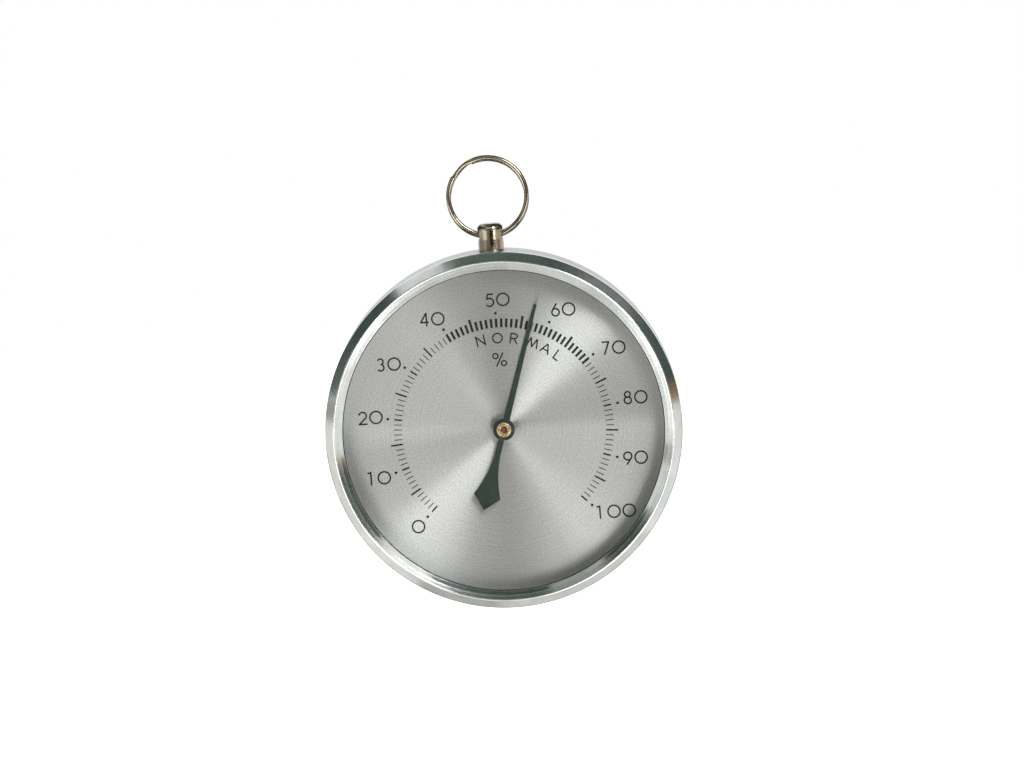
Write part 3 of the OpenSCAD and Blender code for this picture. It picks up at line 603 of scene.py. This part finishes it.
def line(mesh, start, end, width, place=Matrix()):
    """A straight ribbon between two points of the drawing."""
    start = Vector((*start, 0))
    along = Vector((*end, 0)) - start
    turn = Matrix.Rotation(math.atan2(along.y, along.x), 4, "Z")
    size = Matrix.Diagonal((along.length / 2, width / 2, 1, 1))
    middle = Matrix.Translation(start + along / 2)
    bmesh.ops.create_grid(mesh, x_segments=1, y_segments=1, size=1.0, matrix=place @ middle @ turn @ size)


def arc(mesh, centre, radius, start, end, width, place=Matrix()):
    """A round ribbon from one angle to another, anticlockwise from the right, in degrees."""
    middle = place @ Matrix.Translation((*centre, 0))
    first = middle @ Matrix.Rotation(math.radians(start), 4, "Z")
    edge = [mesh.verts.new(first @ Vector((radius + side * width / 2, 0, 0))) for side in (-1, 1)]
    across = mesh.edges.new(edge)
    full = abs(end - start) >= 360
    steps = max(6, round(abs(end - start) / arc_step))
    bmesh.ops.spin(mesh, geom=[*edge, across], cent=middle.translation, axis=(0, 0, 1),
                   angle=math.radians(end - start), steps=steps, use_merge=full)


def dot(mesh, centre, diameter):
    """A round spot of ink."""
    bmesh.ops.create_circle(mesh, cap_ends=True, radius=diameter / 2, segments=20,
                            matrix=Matrix.Translation((*centre, 0)))


def print_on_dial(name, mesh):
    """Gives a flat drawing the thickness of ink and lays it on the dial."""
    bmesh.ops.recalc_face_normals(mesh, faces=mesh.faces)
    skin = bmesh.ops.extrude_face_region(mesh, geom=mesh.faces[:], use_keep_orig=True)
    raised = [part for part in skin["geom"] if isinstance(part, bmesh.types.BMVert)]
    bmesh.ops.translate(mesh, verts=raised, vec=(0, 0, ink_height + ink_sink))
    bmesh.ops.translate(mesh, verts=mesh.verts, vec=(0, 0, dial_face - ink_sink))
    bmesh.ops.transform(mesh, matrix=TO_FRAME, verts=mesh.verts)
    finish_piece(name, mesh, ink, "case", edge=30)


# %% [markdown]
# Screen ink is a pigmented lacquer: nearly black with a little green, satin rather than shiny, and
# slightly uneven where the metal's texture shows through.

# %% Ink
ink, shader = start_finish("black screen ink", {"Roughness": 0.45, "Specular IOR Level": 0.25})
feed(ink, shader, {
    "Base Color": tinted(ink, mottle(ink, 0.8), "#0E110F", "#1A1E1B"),
    "Normal": relief(ink, mottle(ink, 0.2), 0.004)})

# %% [markdown]
# The scale runs from 0 to 100 percent over 270 degrees, with 50 at the top. Plain marks stand at every
# percent, bolder ones at every fifth and longer ones midway between the tens, and the comfortable zone
# from 40 to 70 has heavy marks. A dot outside each tenth mark leads the eye to its number. One rule in a
# loop places them all.

# %% Scale
scale_deg = 270.0
zone = (40, 70)
tick_in_r = 29.2
thin_out_r = {False: 31.4, True: 32.6}
heavy_out_r = {False: 31.75, True: 32.85}
thin_width = {False: 0.26, True: 0.48}
heavy_width = 0.7
dot_r = 33.3
dot_size = 0.8


def dial_angle(percent):
    """Where a reading stands, in degrees clockwise from the top."""
    return (percent / 100 - 0.5) * scale_deg


def on_dial(degrees, radius):
    """A drawing point at that clockwise angle from the top and that distance from the middle."""
    angle = math.radians(degrees)
    return (radius * math.sin(angle), radius * math.cos(angle))


ticks = bmesh.new()
dots = bmesh.new()
for percent in range(101):
    angle = dial_angle(percent)
    heavy = zone[0] <= percent <= zone[1]
    between_tens = percent % 10 == 5
    outer_r = heavy_out_r[between_tens] if heavy else thin_out_r[between_tens]
    width = heavy_width if heavy else thin_width[percent % 5 == 0]
    line(ticks, on_dial(angle, tick_in_r), on_dial(angle, outer_r), width)
    if percent % 10 == 0:
        dot(dots, on_dial(angle, dot_r), dot_size)
print_on_dial("scale_ticks", ticks)
print_on_dial("scale_dots", dots)

# %% [markdown]
# The numbers are in a plain geometric sans: circles, straight lines and one stroke width. A font file
# would be something from outside, so each figure is drawn from lines and arcs, with the middle of its
# body at 0, 0. Where a straight stroke leaves a round one it does so along the circle's tangent, which
# is what gives 2, 6 and 9 their clean shape, and the angle of that tangent is worked out.

# %% Helpers for figures
figure_h = 3.9
stroke = 0.46
top = (figure_h - stroke) / 2
full_top = figure_h / 2
zero_r = 1.73


def tangent(centre, radius, point, side):
    """The angle, in degrees, at which a line from point touches a circle, on side 1 or -1."""
    across = math.dist(centre, point)
    towards = math.atan2(point[1] - centre[1], point[0] - centre[0])
    return math.degrees(towards + side * math.acos(radius / across))


def rim(centre, radius, degrees):
    """A point on a circle, anticlockwise from the right."""
    angle = math.radians(degrees)
    return (centre[0] + radius * math.cos(angle), centre[1] + radius * math.sin(angle))


print("figures", figure_h, "mm high, strokes", stroke, "mm wide")


# %% [markdown]
# Each figure is then a few bars and bows. Its sizes were read off the print, so 1 and 7 are narrow and 0
# is a full circle.

# %% Figures
def figure(mesh, digit, place):
    """Draws one figure with its middle at the origin of place."""
    def bar(start, end):
        line(mesh, start, end, stroke, place)

    def bow(centre, radius, start, end):
        arc(mesh, centre, radius, start, end, stroke, place)

    if digit == "0":
        bow((0, 0), zero_r, 0, 360)
    elif digit == "1":
        bar((0, -full_top), (0, full_top))
        bar((0.1, top), (-0.95, top - 0.16))
    elif digit == "2":
        foot = (-1.1, -top)
        touch = tangent((0, top - 1.05), 1.05, foot, 1)
        bow((0, top - 1.05), 1.05, 168, touch)
        bar(rim((0, top - 1.05), 1.05, touch), foot)
        bar((-1.3, -top), (1.25, -top))
    elif digit == "3":
        bow((-0.1, top - 0.79), 0.79, 155, -90)
        bow((-0.1, 0.91 - top), 0.91, 90, -150)
    elif digit == "4":
        bar((0.5, full_top - 0.1), (-1.15, -0.75))
        bar((-1.3, -0.8), (1.15, -0.8))
        bar((0.5, full_top), (0.5, -full_top))
    elif digit == "5":
        bar((-0.62, top), (1.0, top))
        bar((-0.55, top), (-0.82, 0.32))
        bow((-0.05, 1.14 - top), 1.14, 134, -142)
    elif digit == "6":
        reach = (0.42, full_top - 0.05)
        touch = tangent((0, 1.04 - top), 1.04, reach, 1)
        bow((0, 1.04 - top), 1.04, 0, 360)
        bar(rim((0, 1.04 - top), 1.04, touch), reach)
    elif digit == "7":
        bar((-1.05, top), (1.1, top))
        bar((0.95, top), (-0.45, -full_top))
    elif digit == "8":
        bow((0, top - 0.79), 0.79, 0, 360)
        bow((0, 0.99 - top), 0.99, 0, 360)
    elif digit == "9":
        reach = (-0.42, 0.05 - full_top)
        touch = tangent((0, top - 1.13), 1.13, reach, 1)
        bow((0, top - 1.13), 1.13, 0, 360)
        bar(rim((0, top - 1.13), 1.13, touch), reach)


# %% [markdown]
# Each number sits upright outside its dot. The print isn't quite even, so the middle of each number is
# given as it lies on the dial, and its figures are spaced about that.

# %% Numbers
number_middles = {
    0: (-26.4, -26.2), 10: (-37.0, -11.5), 20: (-38.1, 5.95), 30: (-31.8, 20.85), 40: (-18.4, 32.9),
    50: (0.5, 37.1), 60: (19.0, 33.0), 70: (32.5, 21.1), 80: (37.75, 6.45), 90: (36.6, -10.85),
    100: (29.8, -25.8)}
figure_steps = {1: [0], 2: [-1.89, 1.89], 3: [-4.15, -0.15, 4.2]}
numbers = bmesh.new()
for value, (x, y) in number_middles.items():
    digits = str(value)
    for digit, step in zip(digits, figure_steps[len(digits)]):
        figure(numbers, digit, Matrix.Translation((x + step, y, 0)))
print_on_dial("numerals", numbers)

# %% [markdown]
# One plain word names the comfortable zone. Its letters stand on a circle inside the scale, each turned
# to face outwards, and are smaller and finer than the figures.

# %% Word
letter_h = 3.1
letter_stroke = 0.4
letter_r = 26.15
letter_angles = {"N": -10.6, "O": 0.1, "R": 10.4, "M": 22.6, "A": 31.5, "L": 40.2}
half = letter_h / 2
inner = (letter_h - letter_stroke) / 2
letter_lines = {
    "N": [(-1.12, -half, -1.12, half), (1.12, -half, 1.12, half), (-1.12, inner, 1.12, -inner)],
    "R": [(-0.95, -half, -0.95, half), (-0.95, inner, 0.2, inner), (-0.95, -0.05, 0.2, -0.05),
          (0.1, -0.05, 0.98, -half)],
    "M": [(-1.5, -half, -0.95, inner), (-0.95, inner, 0, -inner), (0, -inner, 0.95, inner),
          (0.95, inner, 1.5, -half)],
    "A": [(-1.3, -half, 0, inner), (0, inner, 1.3, -half), (-0.85, -0.55, 0.85, -0.55)],
    "L": [(-0.75, -half, -0.75, half), (-0.75, -inner, 0.85, -inner)]}
letter_arcs = {"O": (0, 0, inner, 0, 360), "R": (0.2, (inner - 0.05) / 2, (inner + 0.05) / 2, -90, 90)}

word = bmesh.new()
for letter, angle in letter_angles.items():
    x, y = on_dial(angle, letter_r)
    place = Matrix.Translation((x, y, 0)) @ Matrix.Rotation(math.radians(-angle), 4, "Z")
    for x0, y0, x1, y1 in letter_lines.get(letter, []):
        line(word, (x0, y0), (x1, y1), letter_stroke, place)
    if letter in letter_arcs:
        cx, cy, radius, start, end = letter_arcs[letter]
        arc(word, (cx, cy), radius, start, end, letter_stroke, place)
print_on_dial("zone_word", word)

# %% [markdown]
# The percent sign is a slash with a small loop on each side, in the same stroke as the word.

# %% Percent sign
sign_middle = (0.25, 19.95)
slash_end = (1.05, 1.95)
loop_at = (1.16, -1.08)
loop_r = 0.72
percent_sign = bmesh.new()
sign_place = Matrix.Translation((*sign_middle, 0))
line(percent_sign, (-slash_end[0], -slash_end[1]), slash_end, letter_stroke, sign_place)
for side in (-1, 1):
    arc(percent_sign, (side * loop_at[0], side * loop_at[1]), loop_r, 0, 360, letter_stroke, sign_place)
print_on_dial("percent_sign", percent_sign)

# %% [markdown]
# The pointer is stamped from thin sheet and lacquered: a long blade that tapers to the tip, a hub disc,
# and a spade-shaped tail that balances it. The tail's flank is hollow, an arc that starts along the neck
# and ends at the shoulder, and its radius follows from those two points. At rest it reads 56.7.

# %% Pointer sizes
pointer_back = 17.3
pointer_front = 17.6
pointer_ease = 0.07
rest_angle = 18.09
blade_l = 37.0
blade_half = 1.0
tip_half = 0.475
hub_r = 3.15
hole_r = 1.22
neck_half = 0.85
neck_l = 6.3
shoulder = (3.9, -19.8)
tail_l = 23.8
hollow_rise = shoulder[0] - neck_half
hollow_run = -shoulder[1] - neck_l
hollow_r = (hollow_rise ** 2 + hollow_run ** 2) / (2 * hollow_rise)
print("the pointer reads", round(50 + 100 * rest_angle / scale_deg, 1))

# %% [markdown]
# Only one half of the outline is drawn, by a vertex that walks from the tip along the blade, round the
# hub and the hollow of the tail to its point, and back past the hole. One helper takes it along an arc,
# which a spin of that vertex makes, and one along a straight edge. Where the blade meets the hub, and
# the hub the neck, follows from their widths.

# %% Outline of the pointer
def swing(mesh, vertex, centre, degrees, steps):
    """Carries a vertex along an arc, anticlockwise, and returns where it ends."""
    made = bmesh.ops.spin(mesh, geom=[vertex], cent=(*centre, 0), axis=(0, 0, 1),
                          angle=math.radians(degrees), steps=steps)
    return next(part for part in made["geom_last"] if isinstance(part, bmesh.types.BMVert))


def run_to(mesh, vertex, x, y):
    """Draws a straight edge on to a new vertex."""
    new = mesh.verts.new((x, y, 0))
    mesh.edges.new((vertex, new))
    return new


pointer = bmesh.new()
slope = (blade_half - tip_half) / blade_l
hub_y = hub_r * math.cos(math.asin(blade_half / hub_r))
hub_x = blade_half - slope * hub_y
hub_start = math.degrees(math.atan2(math.sqrt(hub_r ** 2 - hub_x ** 2), hub_x))
hub_end = -math.degrees(math.acos(neck_half / hub_r))
tip = pointer.verts.new((0, blade_l, 0))
side = run_to(pointer, tip, tip_half, blade_l)
side = run_to(pointer, side, hub_x, math.sqrt(hub_r ** 2 - hub_x ** 2))
side = swing(pointer, side, (0, 0), hub_end - hub_start, 24)
side = run_to(pointer, side, neck_half, -neck_l)
side = swing(pointer, side, (neck_half + hollow_r, -neck_l),
             math.degrees(math.asin(hollow_run / hollow_r)), 14)
side = run_to(pointer, side, 0, -tail_l)
side = run_to(pointer, side, 0, -hole_r)
side = swing(pointer, side, (0, 0), 180, 16)
pointer.edges.new((side, tip))
print("outline of", len(pointer.verts), "points")

# %% [markdown]
# The half outline is filled and extruded, its wall on the middle line is taken out, and the other half
# is its mirror image. Stamping leaves soft edges, so the outer rim of both faces gets a small bevel. Then
# the pointer is turned to its reading and laid at its height above the dial.

# %% Pointer shape
bmesh.ops.remove_doubles(pointer, verts=pointer.verts, dist=1e-6)
bmesh.ops.contextual_create(pointer, geom=pointer.edges[:])
plate = bmesh.ops.extrude_face_region(pointer, geom=pointer.faces[:], use_keep_orig=True)
raised = [part for part in plate["geom"] if isinstance(part, bmesh.types.BMVert)]
bmesh.ops.translate(pointer, verts=raised, vec=(0, 0, pointer_front - pointer_back))
middle_wall = [face for face in pointer.faces if all(abs(v.co.x) < 1e-5 for v in face.verts)]
bmesh.ops.delete(pointer, geom=middle_wall, context="FACES")
bmesh.ops.mirror(pointer, geom=pointer.verts[:] + pointer.edges[:] + pointer.faces[:],
                 axis="X", merge_dist=1e-5)
rim_edges = [edge for edge in pointer.edges
             if edge.verts[0].co.z == edge.verts[1].co.z and len(edge.link_faces) == 2
             and abs(edge.link_faces[0].normal.z) + abs(edge.link_faces[1].normal.z) < 1.5
             and all(v.co.xy.length > 2 * hole_r for v in edge.verts)]
bmesh.ops.bevel(pointer, geom=rim_edges, offset=pointer_ease, offset_type="OFFSET", affect="EDGES",
                segments=2, profile=0.5, material=-1, clamp_overlap=True)
bmesh.ops.translate(pointer, verts=pointer.verts, vec=(0, 0, pointer_back))
bmesh.ops.rotate(pointer, verts=pointer.verts, cent=(0, 0, 0),
                 matrix=Matrix.Rotation(math.radians(-rest_angle), 3, "Z"))
bmesh.ops.transform(pointer, matrix=TO_FRAME, verts=pointer.verts)
print("pointer faces", len(pointer.faces))

# %% [markdown]
# The lacquer is a stoving enamel, black with a green cast. It flows a little before it sets, so it has a
# thin clear gloss over a satin body, with a faint waviness.

# %% Pointer lacquer
lacquer, shader = start_finish("green-black stoving lacquer", {
    "Roughness": 0.34, "Coat Weight": 0.25, "Coat Roughness": 0.12})
feed(lacquer, shader, {
    "Base Color": tinted(lacquer, mottle(lacquer, 1.5), "#17201C", "#222D28"),
    "Normal": relief(lacquer, mottle(lacquer, 0.35), 0.006)})
finish_piece("lacquered_pointer", pointer, lacquer, "pointer_group", ["pointer"])

# %% [markdown]
# Small metal pieces are all finished alike: a plain metal whose colour drifts a little over wide soft
# spots, with fine marks from the tool in its gloss and relief. Only the colours, the gloss and the size
# of the marks differ, so one helper makes them all.

# %% Helper for solid metals
wear_scale = 6


def turned_metal(name, dark, light, low, high, size, depth):
    """A solid metal as a lathe or a press leaves it, with small marks of that size in mm."""
    material, shader = start_finish(name, {"Metallic": 1.0})
    marks = mottle(material, size)
    feed(material, shader, {
        "Base Color": tinted(material, mottle(material, wear_scale * size), dark, light),
        "Roughness": between(material, marks, low, high),
        "Normal": relief(material, marks, depth)})
    return material


print("soft spots are", wear_scale, "times as wide as the tool's marks")

# %% [markdown]
# A brass bush holds the pointer on its spindle. Its head is turned with a countersunk dimple, in which
# the spindle's steel nose ends. The metal is a warm, coppery brass, pale on its rim and darker and redder
# in the dimple, so its colour follows the distance from the axis. The darker, redder dimple is painted
# shade of the hollow.

# %% Pointer bush
shaded_dimple_brass, shader = start_finish("turned coppery brass, painted dimple shade", {"Metallic": 1.0})
dimple_r = 0.8
dimple_shade_end_r = 1.3
place = add_node(shaded_dimple_brass, "ShaderNodeTexCoord")
dimple_shade = add_node(shaded_dimple_brass, "ShaderNodeMapRange", {"interpolation_type": "SMOOTHSTEP"}, {
    "Value": axis_distance(shaded_dimple_brass, place), "From Min": dimple_r * MM, "From Max": dimple_shade_end_r * MM})
marks = mottle(shaded_dimple_brass, 0.3)
feed(shaded_dimple_brass, shader, {
    # painted shade: the colour turns darker and redder into the dimple, standing for the shade of the
    # hollow
    "Base Color": tinted(shaded_dimple_brass, dimple_shade.outputs["Result"], "#94552F", "#EBCFA6"),
    "Roughness": between(shaded_dimple_brass, marks, 0.2, 0.34),
    "Normal": relief(shaded_dimple_brass, marks, 0.006)})

bore_r = 0.47
sleeve_r = 1.2
foot_r = 1.8
head_r = 2.07
bush_back = 16.3
head_top = 18.5
bush = turned([
    (bore_r, bush_back, 0), (foot_r, bush_back, 0.08), (foot_r, pointer_back, 0),
    (sleeve_r, pointer_back, 0), (sleeve_r, pointer_front, 0), (head_r, pointer_front, 0.05),
    (head_r, head_top - 0.2, 0.06), (head_r - 0.2, head_top, 0.06), (1.1, head_top, 0.06),
    (bore_r, 17.92, 0)], steps=96)
finish_piece("brass_bush", bush, shaded_dimple_brass, "pointer_group", ["pointer_bush"])

# %% [markdown]
# The hanging ring is a split ring: nearly two turns of round spring wire that lie one behind the other,
# with a short bend where the wire crosses from one to the other. A curve follows the wire's middle line,
# which a formula gives, and its round bevel is the wire. The formula eases into the bend and out again,
# so that the wire never kinks.

# %% Path of the hanging ring
ring_turns = 1.9
ring_mean_r = 11.15
wire_r = 0.7
ring_middle = at(0, 65.84, 6.0)
turn_pitch = 1.82
turn_slip = 0.5
jog_at = 129.0
jog_deg = 30.0
ring_points = 420


def wire_at(share):
    """The wire's middle line, from its rear end at share 0 to its front end at share 1."""
    degrees = jog_at + 360 * ring_turns * (share - 0.5)
    crossed = min(1.0, max(0.0, (degrees - jog_at) / jog_deg + 0.5))
    side = crossed ** 2 * (3 - 2 * crossed) - 0.5
    angle = math.radians(degrees)
    return ring_middle + at(ring_mean_r * math.cos(angle),
                            ring_mean_r * math.sin(angle) - side * turn_slip, -side * turn_pitch)


print("the ring is", 2 * (ring_mean_r + wire_r), "mm across")

# %% [markdown]
# The curve is a chain of many short straight parts, so that it keeps to the formula. Its mesh is taken
# over into a bmesh at once, because a piece here is always a plain mesh at the origin.

# %% Ring wire
wire = bpy.data.curves.new("wire", "CURVE")
wire.dimensions = "3D"
wire.bevel_depth = wire_r * MM
wire.bevel_resolution = 6
wire.use_fill_caps = True
spline = wire.splines.new("POLY")
spline.points.add(ring_points - 1)
for index, point in enumerate(spline.points):
    point.co = (*wire_at(index / (ring_points - 1)), 1)
wire_object = bpy.data.objects.new("wire", wire)
ring = bmesh.new()
ring.from_mesh(wire_object.to_mesh())
wire_object.to_mesh_clear()
bpy.data.objects.remove(wire_object)
print("wire faces", len(ring.faces))

# %% [markdown]
# Ring and stem are nickel plated: bright, and a little yellow and brown beside the aluminium. Plating
# follows every small mark of the wire below, so the gloss changes a little from spot to spot.

# %% Nickel plate
nickel = turned_metal("bright nickel plate", "#857C6C", "#ABA08C", 0.12, 0.24, 0.6, 0.008)
finish_piece("split_ring", ring, nickel, "ring", ["hanging_ring"], edge=50)

# %% [markdown]
# The pieces that the frame already has in their right shape keep it and only change their finish. The
# cup is drawn from sheet and skimmed on a lathe, so it is less bright than the bezel. Inside there are
# turned brass and steel, zinc plated screws and pillars, a bronze hairspring and the bundle of hair.

# %% Aluminium and hair
drawn_aluminium, shader = start_finish("drawn aluminium", {
    "Metallic": 1.0, "Anisotropic": 0.4, "Anisotropic Rotation": 0.25})
round_axis = add_node(drawn_aluminium, "ShaderNodeTangent", {"direction_type": "RADIAL", "axis": "Y"})
marks = rings(drawn_aluminium, 0.45)
wear = mottle(drawn_aluminium, 9.0, 4.0)
feed(drawn_aluminium, shader, {
    "Base Color": tinted(drawn_aluminium, wear, "#BCC1C5", "#CED2D4"),
    "Roughness": between(drawn_aluminium, marks, 0.26, 0.4),
    "Tangent": round_axis.outputs["Tangent"],
    "Normal": relief(drawn_aluminium, marks, 0.01)})

hair, shader = start_finish("degreased human hair", {"Roughness": 0.45, "Sheen Weight": 0.3})
strands = mottle(hair, 0.12, 2.0, stretch=(0.1, 1, 1))
feed(hair, shader, {
    "Base Color": tinted(hair, strands, "#4A3320", "#7A5A3A"),
    "Normal": relief(hair, strands, 0.03)})

# %% [markdown]
# Each CAD piece carries the name of its finish in its material slot, so one table of names is enough to
# dress them all.

# %% Finishes of the other pieces
finishes = {
    "cup_aluminium": drawn_aluminium,
    "bezel_aluminium": polished_aluminium,
    "clear_glass": mineral_glass,
    "gasket_rubber": rubber,
    "spacer_aluminium": recess_shaded_aluminium,
    "dial_aluminium": brushed_aluminium,
    "pointer_lacquer": lacquer,
    "brass": turned_metal("turned brass", "#B5914E", "#D3B26C", 0.22, 0.36, 0.5, 0.006),
    "steel": turned_metal("turned steel", "#8F9294", "#B0B3B4", 0.24, 0.38, 0.4, 0.006),
    "plated_steel": turned_metal("zinc plated steel", "#A9ACA6", "#C8CAC2", 0.28, 0.44, 0.8, 0.01),
    "nickel": nickel,
    "spring_bronze": turned_metal("drawn spring bronze", "#9A6A3C", "#C08C55", 0.2, 0.3, 0.2, 0.003),
    "hair": hair}
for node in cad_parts.values():
    for slot in node.material_slots:
        slot.material = finishes[slot.material.name.split(".")[0]]
print("finishes:", len(finishes))
